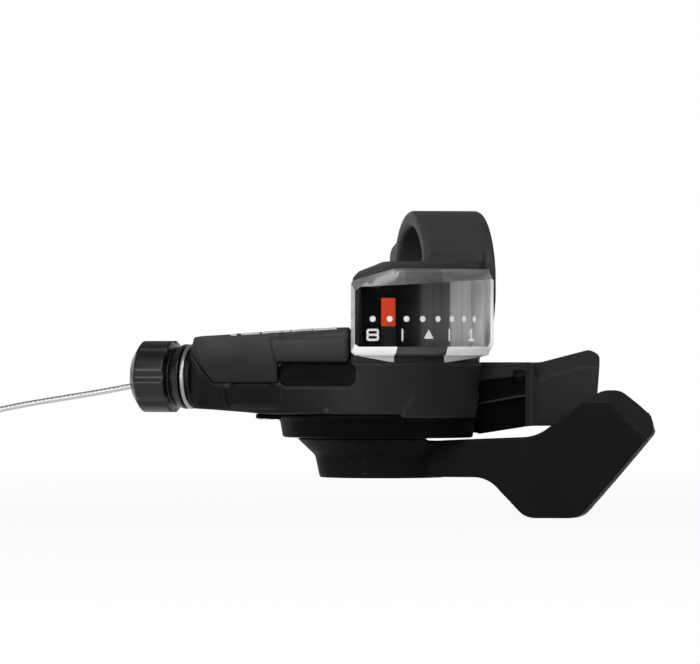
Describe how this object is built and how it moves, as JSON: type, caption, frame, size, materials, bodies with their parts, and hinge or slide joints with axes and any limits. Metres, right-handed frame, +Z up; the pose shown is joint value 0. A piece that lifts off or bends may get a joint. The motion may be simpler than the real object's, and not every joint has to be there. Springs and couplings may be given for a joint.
{
  "type": "trigger gear shifter",
  "caption": "Handlebar trigger shifter with a clamp, two thumb levers, a gear display, a barrel adjuster and its inner wire.",
  "frame": {"origin": "centre of the clamp's bore for the handlebar, halfway along it", "axes": "+X along the handlebar to the rider's right, +Y forward, +Z up"},
  "size_m": [0.163, 0.0758, 0.0579],
  "materials": {
    "housing_plastic": "fine moulded texture",
    "cover_plastic": "fine moulded texture",
    "lever_plastic": "fine moulded texture",
    "knob_plastic": "gloss black",
    "clear_plastic": "clear",
    "display_plastic": "dark with pale dial print",
    "flag_plastic": "red-orange",
    "spool_plastic": "black",
    "steel": "plain",
    "spring_steel": "plain",
    "bright_ring": "bright",
    "wire_steel": "stranded",
    "tie_plastic": "black"
  },
  "bodies": {
    "housing": {"main_housing": "housing_plastic", "top_cover": "cover_plastic", "cover_screw": "steel", "bottom_cover": "housing_plastic", "bottom_screws": "steel", "clamp_bolt": "steel", "clamp_nut": "steel", "display_lens": "clear_plastic", "display_backing": "display_plastic", "pivot_axle": "steel", "axle_bush": "steel", "pivot_washer": "steel", "pivot_screw": "steel", "hold_pawl_pin": "steel", "hold_pawl_spring": "spring_steel", "adjuster_insert": "steel", "adjuster_washer": "bright_ring", "wire_lead": "wire_steel", "inner_wire": "wire_steel", "wire_coil": "wire_steel", "coil_tie": "tie_plastic"},
    "spool": {"cable_spool": "spool_plastic", "gear_flag": "flag_plastic", "wire_wrap": "wire_steel", "wire_head": "steel", "spool_spring": "spring_steel"},
    "pull_arm": {"pull_lever": "lever_plastic", "pawl_carrier": "steel", "pull_pawl_pin": "steel", "pull_pawl_spring": "spring_steel", "pull_lever_spring": "spring_steel"},
    "release_arm": {"release_lever": "lever_plastic", "release_lever_spring": "spring_steel"},
    "drive_pawl": {"pull_pawl": "steel"},
    "stop_pawl": {"hold_pawl": "steel"},
    "adjuster_slide": {"adjuster_spring": "spring_steel"},
    "adjuster": {"adjuster_knob": "knob_plastic"}
  },
  "joints": [
    {"name": "pull_lever_swing", "type": "hinge", "parent": "housing", "child": "pull_arm", "pos_m": [-0.0125, -0.002, -0.0325], "axis": [0, 0, 1], "range_deg": [0, 50], "stiffness_Nm_per_rad": 0.05},
    {"name": "release_lever_swing", "type": "hinge", "parent": "housing", "child": "release_arm", "pos_m": [-0.0125, -0.002, -0.0223], "axis": [0, 0, 1], "range_deg": [0, 14], "stiffness_Nm_per_rad": 0.05},
    {"name": "spool_turn", "type": "hinge", "parent": "housing", "child": "spool", "pos_m": [-0.0125, -0.002, -0.0173], "axis": [0, 0, 1], "range_deg": [-9.4, 56.4]},
    {"name": "pull_pawl_tilt", "type": "hinge", "parent": "pull_arm", "child": "drive_pawl", "pos_m": [-0.0047, 0.01151, -0.02015], "axis": [0, 0, 1], "range_deg": [-6, 0], "stiffness_Nm_per_rad": 0.001},
    {"name": "hold_pawl_tilt", "type": "hinge", "parent": "housing", "child": "stop_pawl", "pos_m": [-0.02757, 0.00204, -0.02015], "axis": [0, 0, 1], "range_deg": [-6, 0], "stiffness_Nm_per_rad": 0.001},
    {"name": "adjuster_feed", "type": "slide", "parent": "housing", "child": "adjuster_slide", "axis": [-0.8526, 0.5225, 0], "range_m": [0, 0.0028]},
    {"name": "adjuster_turn", "type": "hinge", "parent": "adjuster_slide", "child": "adjuster", "pos_m": [-0.05378, 0.00336, -0.0173], "axis": [-0.8526, 0.5225, 0], "range_deg": [0, 1440]}
  ],
  "couplings": [
    {"joint": "adjuster_turn", "follows": "adjuster_feed", "rad_per_m": 8976}
  ]
}
